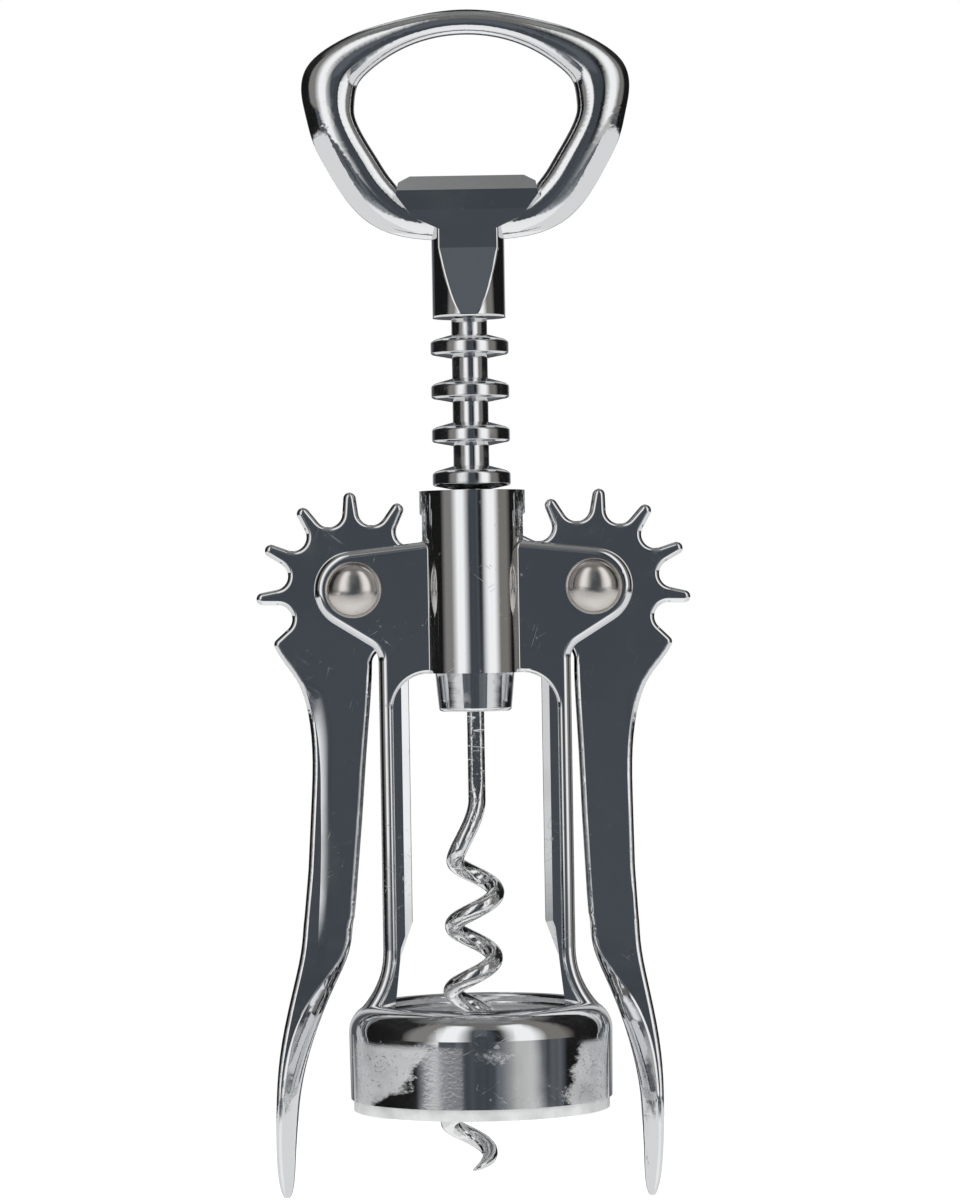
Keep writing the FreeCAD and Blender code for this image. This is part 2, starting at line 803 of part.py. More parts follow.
def gear_edges():
    """Teeth as round-tipped fingers; one arc forms each valley and both its flanks' feet."""
    step = math.degrees(float(size.rack_pitch / (pivot_x - size.pitch_line_radius)))
    root = float(size.gear_root_radius)
    tip_round = float(size.tooth_tip_round)
    tip_centre = float(gear_tip_radius) - tip_round
    taper = math.radians(float(size.tooth_taper))
    half = math.radians(step / 2)
    grow = math.tan(taper)
    # the valley's radius makes its arc touch both flank lines and the root circle
    fixed = root * math.sin(half) - tip_round / math.cos(taper)
    fixed -= (tip_centre - root * math.cos(half)) * grow
    rate = math.sin(half) + math.cos(half) * grow
    valley = fixed * math.cos(taper) / (1 - rate * math.cos(taper))
    valley_centre = root + valley

    def flank_points(tooth, side):
        """Ends of one flank line: at the tip's arc and at the valley's arc."""
        axis = polar(1, tooth * step)
        across = polar(1, tooth * step + 90 * side)
        normal = across * math.cos(taper) + axis * math.sin(taper)
        outer = polar(tip_centre, tooth * step) + normal * tip_round
        inner = polar(valley_centre, (tooth + side / 2) * step) - normal * valley
        return outer, inner

    edges = []
    count = 1 + int(float(size.gear_fan_angle) / step)
    for tooth in range(count):
        outer, inner = flank_points(tooth, -1)
        if tooth == 0:
            # below the first tooth half a valley runs out into the root circle
            foot = polar(root, -step / 2)
            middle = polar(valley_centre, -step / 2)
            between = (foot - middle + inner - middle).normalize() * valley
            edges.append(Part.Arc(foot, middle + between, inner).toShape())
        edges.append(Part.makeLine(inner, outer))
        top = polar(float(gear_tip_radius), tooth * step)
        if tooth < count - 1:
            after, foot = flank_points(tooth, 1)
            edges.append(Part.Arc(outer, top, after).toShape())
            edges.append(Part.makeLine(after, foot))
            bottom = polar(root, (tooth + 0.5) * step)
            edges.append(Part.Arc(foot, bottom, flank_points(tooth + 1, -1)[1]).toShape())
    # the last tooth runs out into the arm's outer edge
    tip = polar(tip_centre, (count - 1) * step)
    shoulder = flat(*ARM_OUTER_EDGE[0])
    way = (shoulder - tip).normalize()
    last = tip + Vector(-way.z, 0, way.x) * tip_round
    middle = ((outer - tip) + (last - tip)).normalize() * tip_round + tip
    edges.append(Part.Arc(outer, middle, last).toShape())
    return edges, polar(root, -step / 2), last, way


def curve(points, first=None, last=None):
    spline = Part.BSplineCurve()
    if first is None:
        spline.interpolate(points)
    else:
        spline.interpolate(Points=points, InitialTangent=first, FinalTangent=last)
    return spline.toShape()


def arm_section(height, outer, inner, flat_depth, half_width, bend):
    """Section across the arm: flat outer face, flat sides, inner face bulging to its keel."""
    crease = outer - flat_depth
    bulge = inner - (crease - inner) / 3
    lean = Vector(bulge - crease, -half_width * 0.6, 0).normalize()
    turn = math.atan2(-lean.y, -lean.x)
    tight = min(bend, flat_depth * 0.55, half_width * 0.45)
    reach = min(bend, flat_depth * 0.9) * math.tan(turn / 2)
    reach = min(reach, flat_depth * 0.35)
    soft = reach / math.tan(turn / 2)
    diagonal = math.sqrt(0.5)

    def place(x, y):
        return Vector(x, y, height)

    def corner(sign):
        """Outer rounded corner, side line and crease arc on one side."""
        wide = half_width * sign
        a = place(outer, wide - tight * sign)
        shift = tight * (1 - diagonal)
        middle = place(outer - shift, wide - shift * sign)
        b = place(outer - tight, wide)
        c = place(crease + reach, wide)
        d = place(crease + lean.x * reach, wide + lean.y * reach * sign)
        centre = place(crease + reach, wide - soft * sign)
        way = (c + d) * 0.5 - centre
        e = centre + way.normalize() * soft
        return a, middle, b, c, e, d

    front, back = corner(1), corner(-1)
    poles = [front[5], place(bulge, half_width * 0.4), place(bulge, -half_width * 0.4), back[5]]
    inner_face = Part.BezierCurve()
    inner_face.setPoles(poles)
    return Part.Wire(
        [
            Part.makeLine(back[0], front[0]),
            Part.Arc(front[0], front[1], front[2]).toShape(),
            Part.makeLine(front[2], front[3]),
            Part.Arc(front[3], front[4], front[5]).toShape(),
            inner_face.toShape(),
            Part.Arc(back[5], back[4], back[3]).toShape(),
            Part.makeLine(back[3], back[2]),
            Part.Arc(back[2], back[1], back[0]).toShape(),
        ]
    )


def make_lever_shape():
    """The right lever about its pivot, hanging in the middle of its play."""
    half = float(size.cheek_gap) / 2 - float(size.lever_side_clearance)
    bend = float(size.lever_edge_round)
    edges, start, finish, way = gear_edges()
    end_outer, end_inner, end_height = ARM_END
    root = float(size.gear_root_radius)
    outer_heading, inner_heading = (flat(*heading) for heading in ARM_END_HEADINGS)
    outer = [finish] + [flat(x, z) for x, z in ARM_OUTER_EDGE] + [flat(end_outer, end_height)]
    edges.append(curve(outer, way, outer_heading))
    edges.append(Part.makeLine(outer[-1], flat(end_inner, end_height)))
    # a round joins the arm's inner edge to the root circle
    throat = float(size.arm_throat_round)
    arm_inner = float(size.arm_inner_offset)
    drop = math.sqrt((root + throat) ** 2 - (arm_inner + throat) ** 2)
    centre = flat(-arm_inner - throat, -drop)
    side = centre + Vector(throat, 0, 0)
    hub = centre * (root / (root + throat))
    middle = centre + ((side - centre) + (hub - centre)).normalize() * throat
    inner = [side] + [flat(x, z) for x, z in ARM_INNER_EDGE] + [flat(end_inner, end_height)]
    edges.append(curve(inner, Vector(0, 0, -1), inner_heading))
    edges.append(Part.Arc(side, middle, hub).toShape())
    edges.append(Part.Arc(hub, (hub + start).normalize() * root, start).toShape())
    wire = Part.Wire(Part.__sortEdges__(edges))
    face = Part.Face(wire)
    face.translate(Vector(0, -half, 0))
    plate = face.extrude(Vector(0, 2 * half, 0))
    rims = [
        edge
        for edge in plate.Edges
        if abs(abs(edge.CenterOfMass.y) - half) < 0.001
        and edge.CenterOfMass.z > end_height + 0.01
    ]
    plate = plate.makeFillet(bend, rims)
    # the leaf starts on the plate's own end face, so the two join without a step
    end_face = next(
        face
        for face in plate.Faces
        if all(abs(corner.Z - end_height) < 0.001 for corner in face.Vertexes)
    )
    sections = [end_face.OuterWire]
    for height, outer, inner, flat_depth, growth in ARM_STATIONS:
        sections.append(arm_section(height, outer, inner, flat_depth, half + growth, bend))
    leaf = Part.makeLoft(sections, True, False)
    lever = plate.fuse(leaf)
    pin = Part.makeCylinder(
        float(size.rivet_radius + size.pivot_clearance),
        4 * half,
        Vector(0, -2 * half, 0),
        Vector(0, 1, 0),
    )
    return lever.cut(pin)


def make_lever(label, shape, side, lean):
    if side < 0:
        shape = shape.mirror(Vector(0, 0, 0), Vector(1, 0, 0))
    return make_feature(label, shape, pivot_x * side, pivot_z, lean)


# Handle: cast loop with a lip for crown caps, flat tongue and round collar


# Stations round the right half of the loop, above the collar's base: outer edge, inner edge,
# thickness
LOOP_STATIONS = (
    ((12.2, 46.3), (11.0, 41.65), 4.9),
    ((20.0, 43.4), (16.0, 37.9), 5.4),
    ((24.7, 39.6), (17.1, 35.9), 6.0),
    ((25.65, 35.7), (17.4, 33.7), 6.2),
    ((25.05, 32.1), (17.3, 31.7), 6.2),
    ((23.9, 27.7), (15.7, 28.1), 6.2),
    ((21.7, 23.3), (13.9, 25.1), 6.2),
    ((18.8, 18.6), (12.3, 22.5), 6.1),
    ((15.2, 15.0), (10.5, 20.2), 6.0),
    ((11.0, 13.1), (8.6, 18.2), 5.9),
    ((7.0, 12.4), (5.8, 17.2), 5.4),
    ((4.0, 12.2), (3.6, 16.9), 4.9),
)

# Corners down each end of the lip, from the end of its edge: further out, down. Its plate then
# narrows into the tongue's core, a spread below the lip's edge.
LIP_END = ((0, 0), (1.8, 1.0), (2.2, 3.0), (-0.4, 6.5))
LIP_SPREAD = 8.4
TONGUE_CORE = 4.3


def band_section(outer, inner, thickness):
    """Section of the loop's band: oval outside, crest, steeper inside down to a flat land."""
    across = inner - outer
    width = across.Length
    across.normalize()
    crest = width * float(size.band_crest_share)
    land = min(float(size.band_land), thickness * 0.4) / 2
    half = thickness / 2

    def place(depth, y):
        return outer + across * depth + Vector(0, y, 0)

    def oval(centre_depth, centre_y, reach, rise, side, forward):
        """Quarter oval from the outer rim to the crest, or from the crest to the land."""
        sign = -1 if forward else 1
        points = []
        for step in range(7):
            angle = math.pi / 2 * step / 6
            angle = angle if forward else math.pi / 2 - angle
            depth = centre_depth + sign * reach * math.cos(angle)
            points.append(place(depth, (centre_y + rise * math.sin(angle)) * side))
        return points

    front_out = oval(crest, 0, crest, half, 1, True)
    front_in = oval(crest, land, width - crest, half - land, 1, False)
    back_in = oval(crest, land, width - crest, half - land, -1, False)[::-1]
    back_out = oval(crest, 0, crest, half, -1, True)[::-1]
    depth_way, side_way = across, Vector(0, 1, 0)
    return Part.Wire(
        [
            curve(front_out, side_way, depth_way),
            curve(front_in, depth_way, side_way * -1),
            Part.makeLine(front_in[-1], back_in[0]),
            curve(back_in, side_way * -1, depth_way * -1),
            curve(back_out, depth_way * -1, side_way),
        ]
    )


def make_handle():
    top = float(size.loop_height)
    right = [
        (flat(*outer), flat(*inner), thickness) for outer, inner, thickness in LOOP_STATIONS
    ]
    left = [
        (Vector(-outer.x, 0, outer.z), Vector(-inner.x, 0, inner.z), thickness)
        for outer, inner, thickness in reversed(right)
    ]
    band, thickness = float(size.loop_top_band), float(size.loop_top_thickness)
    crown = (flat(0, top), flat(0, top - band), thickness)
    sections = [band_section(*station) for station in left + [crown] + right]
    loop = Part.makeLoft(sections, True, False)

    half = float(size.tongue_thickness) / 2
    radius = float(size.collar_radius)
    cut_top = float(size.tongue_cut_height)
    lip_top = float(size.lip_height)
    shank_top = lip_top - float(size.lip_bevel + size.lip_swell)

    # the collar is cut on front and back by slanted faces that run up into the tongue
    collar = Part.makeCylinder(radius, shank_top)
    lower = Vector(-radius, radius - float(size.tongue_cut_start), 0)
    upper = Vector(-radius, half, cut_top)
    hollow = Vector(0, -(upper - lower).z, (upper - lower).y).normalize()
    middle = (lower + upper) * 0.5 + hollow * -float(size.tongue_cut_swell)
    face_arc = Part.Arc(lower, middle, upper).toShape()
    rise = Part.makeLine(upper, Vector(-radius, half, shank_top))
    half_cut = [face_arc, rise]
    other = [edge.mirror(Vector(0, 0, 0), Vector(0, 1, 0)) for edge in half_cut]
    across_top = Part.makeLine(
        Vector(-radius, half, shank_top), Vector(-radius, -half, shank_top)
    )
    across_base = Part.makeLine(lower, Vector(-radius, -lower.y, 0))
    loop_wire = Part.Wire(Part.__sortEdges__(half_cut + other + [across_top, across_base]))
    wedge = Part.Face(loop_wire).extrude(Vector(2 * radius, 0, 0))
    collar = collar.common(wedge)
    rims = [
        edge
        for edge in collar.Edges
        if 0.01 < middle_of(edge).z < shank_top - 0.01
        and abs(math.hypot(middle_of(edge).x, middle_of(edge).y) - radius) < 0.01
        and abs(middle_of(edge).y) > 0.01
    ]
    collar = collar.makeFillet(float(size.tongue_edge_round), rims)

    lip = float(size.lip_half_width)
    bevel = float(size.lip_bevel)
    swell = float(size.lip_swell)
    edge = float(size.lip_edge) / 2
    thick = float(size.lip_thickness) / 2
    throat = cut_top - float(size.tongue_overlap)
    right_side = [(lip + across, lip_top - down) for across, down in LIP_END]
    right_side += [(TONGUE_CORE, lip_top - LIP_SPREAD), (TONGUE_CORE, throat)]
    outline = right_side + [(-x, z) for x, z in reversed(right_side)]
    plate = Part.Face(
        Part.makePolygon([flat(x, z, -thick) for x, z in outline + outline[:1]])
    ).extrude(Vector(0, 2 * thick, 0))
    front_side = [
        (half, throat),
        (half, lip_top - bevel - swell),
        (thick, lip_top - bevel),
        (edge, lip_top),
    ]
    side = front_side + [(-y, z) for y, z in reversed(front_side)]
    bevelled = Part.Face(
        Part.makePolygon([Vector(-2 * lip, y, z) for y, z in side + side[:1]])
    ).extrude(Vector(4 * lip, 0, 0))
    plate = plate.common(bevelled)
    seat = Part.makeCylinder(
        float(size.worm_wire_radius + size.press_clearance),
        float(size.worm_seat_depth),
    )
    handle = loop.fuse([collar, plate]).cut(seat)
    return make_feature("handle", handle, up=collar_base)


pieces = [
    make_frame(),
    make_liner(),
    make_rivet("left_rivet", -1),
    make_rivet("right_rivet", 1),
    make_rack(),
    make_nose(),
    make_worm(),
    make_handle(),
]
lever_shape = make_lever_shape()
pieces.append(make_lever("left_lever", lever_shape, -1, size.left_lever_lean))
pieces.append(make_lever("right_lever", lever_shape, 1, size.right_lever_lean))
document.recompute()

for item in document.Objects:
    if "Invalid" in item.State or "Error" in item.State:
        raise RuntimeError(f"{item.Label} did not build: {item.State}")
os.makedirs("parts", exist_ok=True)
for piece in pieces:
    shape = piece.Shape
    if shape.isNull() or not shape.isValid():
        raise RuntimeError(f"{piece.Label} has no valid shape")
    box = shape.BoundBox
    print(
        f"{piece.Label}: solids {len(shape.Solids)}, volume {shape.Volume:.1f}, "
        f"x {box.XMin:.2f}..{box.XMax:.2f}, y {box.YMin:.2f}..{box.YMax:.2f}, "
        f"z {box.ZMin:.2f}..{box.ZMax:.2f}"
    )
    shape.exportStep(f"parts/{piece.Label}.step")
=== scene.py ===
import math

import bmesh
import bpy
from mathutils import Matrix, Vector


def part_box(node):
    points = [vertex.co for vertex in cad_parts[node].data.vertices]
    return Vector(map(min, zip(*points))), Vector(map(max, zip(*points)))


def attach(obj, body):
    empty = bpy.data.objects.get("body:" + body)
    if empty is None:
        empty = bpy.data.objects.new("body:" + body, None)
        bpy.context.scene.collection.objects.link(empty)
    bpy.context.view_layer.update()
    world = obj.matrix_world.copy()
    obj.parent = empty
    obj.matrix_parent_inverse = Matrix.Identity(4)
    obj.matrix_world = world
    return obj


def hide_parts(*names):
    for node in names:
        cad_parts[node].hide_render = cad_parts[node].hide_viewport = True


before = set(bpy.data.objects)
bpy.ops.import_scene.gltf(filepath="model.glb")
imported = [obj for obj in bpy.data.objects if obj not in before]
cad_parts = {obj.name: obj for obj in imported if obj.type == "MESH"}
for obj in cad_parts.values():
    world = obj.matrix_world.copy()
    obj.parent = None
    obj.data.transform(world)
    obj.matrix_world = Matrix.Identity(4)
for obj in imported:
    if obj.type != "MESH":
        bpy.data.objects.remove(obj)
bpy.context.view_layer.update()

# Frame casting
# Barrel, cheeks, legs and bell are one zinc casting, tumbled, polished and chrome plated. The
# plating follows every ripple of the casting. The wall of the bell is scuffed from bottles, and
# its inside and the seams of the mould beside the barrel were never polished.


def add_node(tree, kind, feeds=None, **settings):
    """Add a node, set its options, and link or fill its inputs by name or number."""
    node = tree.nodes.new(kind)
    for setting, value in settings.items():
        setattr(node, setting, value)
    for socket, feed in (feeds or {}).items():
        if isinstance(feed, bpy.types.NodeSocket):
            tree.links.new(feed, node.inputs[socket])
        else:
            node.inputs[socket].default_value = feed
    return node


def add_math(tree, operation, *feeds, clamp=False):
    """One Math node as a socket."""
    node = add_node(tree, "ShaderNodeMath", dict(enumerate(feeds)), operation=operation)
    node.use_clamp = clamp
    return node.outputs[0]


def fade(tree, value, start, end):
    """0 where the value is at start, 1 where it is at end, soft between them."""
    feeds = {"Value": value, "From Min": start, "From Max": end}
    return add_node(tree, "ShaderNodeMapRange", feeds, interpolation_type="SMOOTHSTEP").outputs[0]


def stretch(tree, value, start, full, full_end, end):
    """1 where the value lies from full to full_end, soft out to start and end."""
    return add_math(tree, "MULTIPLY", fade(tree, value, start, full), fade(tree, value, end, full_end))


def speckle(tree, place, grain, detail=2.0, drawn_out=(1, 1, 1)):
    """Noise whose grains are about this many metres across, drawn out along some axes."""
    drawn = add_node(tree, "ShaderNodeMapping", {"Vector": place, "Scale": drawn_out})
    feeds = {"Vector": drawn.outputs[0], "Scale": 1 / grain, "Detail": detail}
    return add_node(tree, "ShaderNodeTexNoise", feeds).outputs["Fac"]


def open_group(name, sockets):
    """An empty shader group with (name, kind, default) inputs, and its input node."""
    group = bpy.data.node_groups.new(name, "ShaderNodeTree")
    for socket, kind, default in sockets:
        item = group.interface.new_socket(socket, in_out="INPUT", socket_type=kind)
        if default is not None:
            item.default_value = default
    return group, group.nodes.new("NodeGroupInput").outputs


def close_group(group, **results):
    """Give the group its outputs."""
    end = group.nodes.new("NodeGroupOutput")
    for name, socket in results.items():
        group.interface.new_socket(name, in_out="OUTPUT", socket_type="NodeSocketFloat")
        group.links.new(socket, end.inputs[name])
    return group


def make_casting_ripple():
    """Height in millimetres of the long ripples and fine pimples that plating shows up."""
    group, given = open_group(
        "casting_ripple",
        [
            ("Place", "NodeSocketVector", None),
            ("Ripple", "NodeSocketFloat", 0.05),
            ("Pimples", "NodeSocketFloat", 0.002),
        ],
    )
    ripple = add_math(group, "MULTIPLY", speckle(group, given["Place"], 0.016, 1.0), given["Ripple"])
    fine = speckle(group, given["Place"], 0.0012)
    height = add_math(group, "MULTIPLY_ADD", fine, given["Pimples"], ripple)
    return close_group(group, Height=height)


def make_hair_scratches():
    """Thin straight marks in three directions, kept to patches, and small dents between them."""
    group, given = open_group(
        "hair_scratches",
        [("Place", "NodeSocketVector", None), ("Amount", "NodeSocketFloat", 0.5)],
    )
    total = 0.0
    for number, tilt in enumerate((0.5, 1.25, -0.6)):
        feeds = {"Vector": given["Place"], "Rotation": (0.2 * number, tilt, 0.3)}
        turned = add_node(group, "ShaderNodeMapping", feeds).outputs[0]
        line = fade(group, speckle(group, turned, 0.0040, 1.0, (1, 1, 22)), 0.70, 0.76)
        total = add_math(group, "MAXIMUM", line, total)
    dent = fade(group, speckle(group, given["Place"], 0.0011, 1.0), 0.70, 0.75)
    patch = fade(group, speckle(group, given["Place"], 0.0065), 0.46, 0.64)
    kept = add_math(group, "MULTIPLY", add_math(group, "MAXIMUM", total, dent), patch)
    return close_group(group, Mask=add_math(group, "MULTIPLY", kept, given["Amount"]))


def make_tumbled_patch():
    """Ragged patches where the polish is dulled, with pinholes in them."""
    group, given = open_group(
        "tumbled_patch",
        [
            ("Place", "NodeSocketVector", None),
            ("Share", "NodeSocketFloat", 0.5),
            ("Where", "NodeSocketFloat", 1.0),
        ],
    )
    cloud = speckle(group, given["Place"], 0.011, 5.0, (1, 1, 1.8))
    grain = speckle(group, given["Place"], 0.0007, 2.0, (1, 1, 1.6))
    edge = add_math(group, "MULTIPLY_ADD", grain, 0.22, cloud)
    level = add_math(group, "SUBTRACT", 1.06, given["Share"])
    ragged = add_math(group, "SUBTRACT", edge, level)
    patch = add_math(group, "MULTIPLY", fade(group, ragged, -0.04, 0.14), given["Where"])
    pits = fade(group, speckle(group, given["Place"], 0.00055, 2.0, (1, 1, 1.3)), 0.56, 0.68)
    return close_group(group, Patch=patch, Pits=add_math(group, "MULTIPLY", pits, patch))


casting_ripple = make_casting_ripple()
hair_scratches = make_hair_scratches()
tumbled_patch = make_tumbled_patch()


def place_group(tree, group, feeds):
    """Put an effect in a material with its own values."""
    node = tree.nodes.new("ShaderNodeGroup")
    node.node_tree = group
    for socket, feed in feeds.items():
        if isinstance(feed, bpy.types.NodeSocket):
            tree.links.new(feed, node.inputs[socket])
        else:
            node.inputs[socket].default_value = feed
    return node.outputs


def start_metal(name, colour, rough):
    """A bare metal surface, its shader and the place on the object."""
    material = bpy.data.materials.new(name)
    material.use_nodes = True
    tree = material.node_tree
    shader = tree.nodes["Principled BSDF"]
    shader.inputs["Metallic"].default_value = 1.0
    shader.inputs["Base Color"].default_value = (*colour, 1)
    shader.inputs["Roughness"].default_value = rough
    place = tree.nodes.new("ShaderNodeTexCoord").outputs["Object"]
    return material, tree, shader, place


def add_relief(tree, shader, height):
    """Let a height in millimetres raise the surface."""
    bump = add_node(tree, "ShaderNodeBump", {"Height": height, "Strength": 1.0, "Distance": 0.001})
    tree.links.new(bump.outputs["Normal"], shader.inputs["Normal"])


def plate_with_chrome(name, ripple, pimples, scratches):
    """Chrome plating over a casting: its tree, shader, place, roughness and height."""
    material, tree, shader, place = start_metal(name, (0.80, 0.81, 0.82), 0.05)
    relief = place_group(tree, casting_ripple, {"Place": place, "Ripple": ripple, "Pimples": pimples})
    marks = place_group(tree, hair_scratches, {"Place": place, "Amount": scratches})
    rough = add_math(tree, "MULTIPLY_ADD", marks["Mask"], 0.38, 0.05)
    haze = fade(tree, speckle(tree, place, 0.009, 4.0), 0.45, 0.75)
    rough = add_math(tree, "MULTIPLY_ADD", haze, 0.07, rough)
    height = add_math(tree, "MULTIPLY_ADD", marks["Mask"], -0.0015, relief["Height"])
    return material, tree, shader, place, rough, height


def finish_node(name, material):
    """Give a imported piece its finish."""
    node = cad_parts[name]
    for slot in node.material_slots:
        slot.material = material
    return node


def finish_frame():
    material, tree, shader, place, rough, height = plate_with_chrome("frame_plating", 0.035, 0.0006, 0.8)
    parts = add_node(tree, "ShaderNodeSeparateXYZ", {0: place}).outputs
    flat = add_node(tree, "ShaderNodeCombineXYZ", {"X": parts["X"], "Y": parts["Y"]}).outputs[0]
    reach = add_node(tree, "ShaderNodeVectorMath", {0: flat}, operation="LENGTH").outputs["Value"]
    across = add_math(tree, "ABSOLUTE", parts["X"])

    # the wall of the bell below its shoulder: a slanting scuffed patch on the left with a brushed
    # stretch beside it, and a patch on the right
    wall = add_math(
        tree, "MULTIPLY", fade(tree, parts["Z"], 0.0118, 0.0105), fade(tree, reach, 0.0185, 0.0195)
    )
    wall = add_math(tree, "MULTIPLY", wall, fade(tree, across, 0.0196, 0.0188))
    slant = add_math(tree, "MULTIPLY_ADD", parts["Z"], -0.9, parts["X"])
    left = fade(tree, slant, -0.0160, -0.0200)
    right = fade(tree, parts["X"], 0.0125, 0.0165)
    share = add_math(tree, "MULTIPLY_ADD", add_math(tree, "MAXIMUM", left, right), 0.39, 0.31)
    worn = place_group(tree, tumbled_patch, {"Place": place, "Share": share, "Where": wall})
    beside_patch = stretch(tree, parts["X"], -0.0095, -0.0075, -0.0032, -0.0020)
    brushed = add_math(tree, "MULTIPLY", beside_patch, wall)
    cloudy = speckle(tree, place, 0.005, 4.0, (1, 1, 1.6))
    cloudy = add_math(tree, "MULTIPLY_ADD", cloudy, 1.5, -0.05)
    dull = add_math(tree, "SUBTRACT", worn["Patch"], worn["Pits"], clamp=True)
    dull = add_math(tree, "MULTIPLY", dull, cloudy, clamp=True)
    tree.links.new(add_math(tree, "MULTIPLY_ADD", dull, -0.55, 1.0), shader.inputs["Metallic"])

    # the unpolished inside of the bell, and the mould's seams beside the barrel
    inside = add_math(
        tree, "MULTIPLY", fade(tree, parts["Z"], 0.0152, 0.0146), fade(tree, reach, 0.0189, 0.0186)
    )
    beside = stretch(tree, across, 0.0066, 0.0074, 0.0085, 0.0098)
    seam = add_math(tree, "MULTIPLY", beside, fade(tree, parts["Z"], 0.0885, 0.0895))

    rough = add_math(tree, "MULTIPLY_ADD", worn["Patch"], 0.32, rough)
    rough = add_math(tree, "MULTIPLY_ADD", brushed, 0.14, rough)
    rough = add_math(tree, "MAXIMUM", rough, add_math(tree, "MULTIPLY", inside, 0.5))
    tree.links.new(rough, shader.inputs["Roughness"])
    height = add_math(tree, "MULTIPLY_ADD", worn["Pits"], -0.02, height)
    grain = speckle(tree, place, 0.0006, 2.0, (1, 1, 1.4))
    height = add_math(tree, "MULTIPLY_ADD", add_math(tree, "MULTIPLY", grain, brushed), 0.0168, height)
    coarse = speckle(tree, place, 0.0016, 3.0)
    height = add_math(tree, "MULTIPLY_ADD", add_math(tree, "MULTIPLY", coarse, inside), 0.35, height)
    height = add_math(tree, "MULTIPLY_ADD", add_math(tree, "MULTIPLY", coarse, seam), 0.45, height)
    add_relief(tree, shader, height)
    return material


finish_node("frame", finish_frame())

# Liner
# A moulded ring of white polythene, pressed up into the bell, so that its rim takes the bottle.


def finish_liner():
    material = bpy.data.materials.new("liner_polythene")
    material.use_nodes = True
    tree = material.node_tree
    shader = tree.nodes["Principled BSDF"]
    place = tree.nodes.new("ShaderNodeTexCoord").outputs["Object"]
    shader.inputs["Subsurface Weight"].default_value = 0.25
    shader.inputs["Subsurface Radius"].default_value = (0.004, 0.0038, 0.0036)
    cloud = speckle(tree, place, 0.004, 4.0)
    tint = add_node(tree, "ShaderNodeValToRGB", {"Fac": cloud})
    tint.color_ramp.elements[0].position = 0.30
    tint.color_ramp.elements[0].color = (0.66, 0.67, 0.67, 1)
    tint.color_ramp.elements[1].position = 0.60
    tint.color_ramp.elements[1].color = (0.86, 0.87, 0.87, 1)
    tree.links.new(tint.outputs["Color"], shader.inputs["Base Color"])
    tree.links.new(add_math(tree, "MULTIPLY_ADD", cloud, 0.3, 0.25), shader.inputs["Roughness"])
    add_relief(tree, shader, add_math(tree, "MULTIPLY", speckle(tree, place, 0.0008), 0.02))
    return material


finish_node("bell_liner", finish_liner())

# Rivets
# Plain steel rivets, the pivots of the levers. The head is domed and dull from the setting tool,
# its lower part polished less, and the other end is clinched behind. Both hold in the frame.

pivot_offset = 0.0187
pivot_height = 0.0811


def round_corners(corners, steps=6):
    """A profile of (radius, height) points from (radius, height, round) corners."""
    points = []
    for number, (radius, height, bend) in enumerate(corners):
        here = Vector((radius, height))
        if not bend:
            points.append(here)
            continue
        before = Vector(corners[number - 1][:2]) - here
        after = Vector(corners[(number + 1) % len(corners)][:2]) - here
        half = before.angle(after) / 2
        cut = min(bend / math.tan(half), before.length * 0.49, after.length * 0.49)
        first, last = here + before.normalized() * cut, here + after.normalized() * cut
        for step in range(steps + 1):
            share = step / steps
            points.append(first * (1 - share) ** 2 + here * 2 * share * (1 - share) + last * share**2)
    return points


def turn_profile(shape, profile, segments):
    """Turn a closed profile about the Z axis into faces of a bmesh, and return them."""
    rows = []
    for radius, height in profile:
        if radius < 1e-7:
            rows.append([shape.verts.new((0, 0, height))] * segments)
            continue
        turns = (2 * math.pi * step / segments for step in range(segments))
        rows.append([shape.verts.new((radius * math.cos(a), radius * math.sin(a), height)) for a in turns])
    faces = []
    for row, after in zip(rows, rows[1:] + rows[:1]):
        for step in range(segments):
            beside = (step + 1) % segments
            corners = [row[step], row[beside], after[beside], after[step]]
            corners = [v for n, v in enumerate(corners) if v not in corners[:n]]
            if len(corners) > 2:
                faces.append(shape.faces.new(corners))
    return faces


def settle_shape(name, shape):
    """Make an object of a closed bmesh whose faces all point outwards."""
    bmesh.ops.recalc_face_normals(shape, faces=shape.faces)
    mesh = bpy.data.meshes.new(name)
    shape.to_mesh(mesh)
    shape.free()
    piece = bpy.data.objects.new(name, mesh)
    bpy.context.scene.collection.objects.link(piece)
    return piece


def open_tree(name, sizes):
    """An empty geometry tree with named number inputs, and its input and output nodes."""
    tree = bpy.data.node_groups.new(name, "GeometryNodeTree")
    tree.interface.new_socket("Geometry", in_out="INPUT", socket_type="NodeSocketGeometry")
    for size, kind in sizes.items():
        tree.interface.new_socket(size, in_out="INPUT", socket_type=kind)
    tree.interface.new_socket("Geometry", in_out="OUTPUT", socket_type="NodeSocketGeometry")
    return tree, tree.nodes.new("NodeGroupInput").outputs


def close_tree(tree, geometry, material):
    """Make the result real, give it its material and send it out."""
    real = add_node(tree, "GeometryNodeRealizeInstances", {"Geometry": geometry}).outputs[0]
    finished = add_node(tree, "GeometryNodeSetMaterial", {"Geometry": real, "Material": material})
    end = tree.nodes.new("NodeGroupOutput")
    tree.links.new(finished.outputs[0], end.inputs[0])


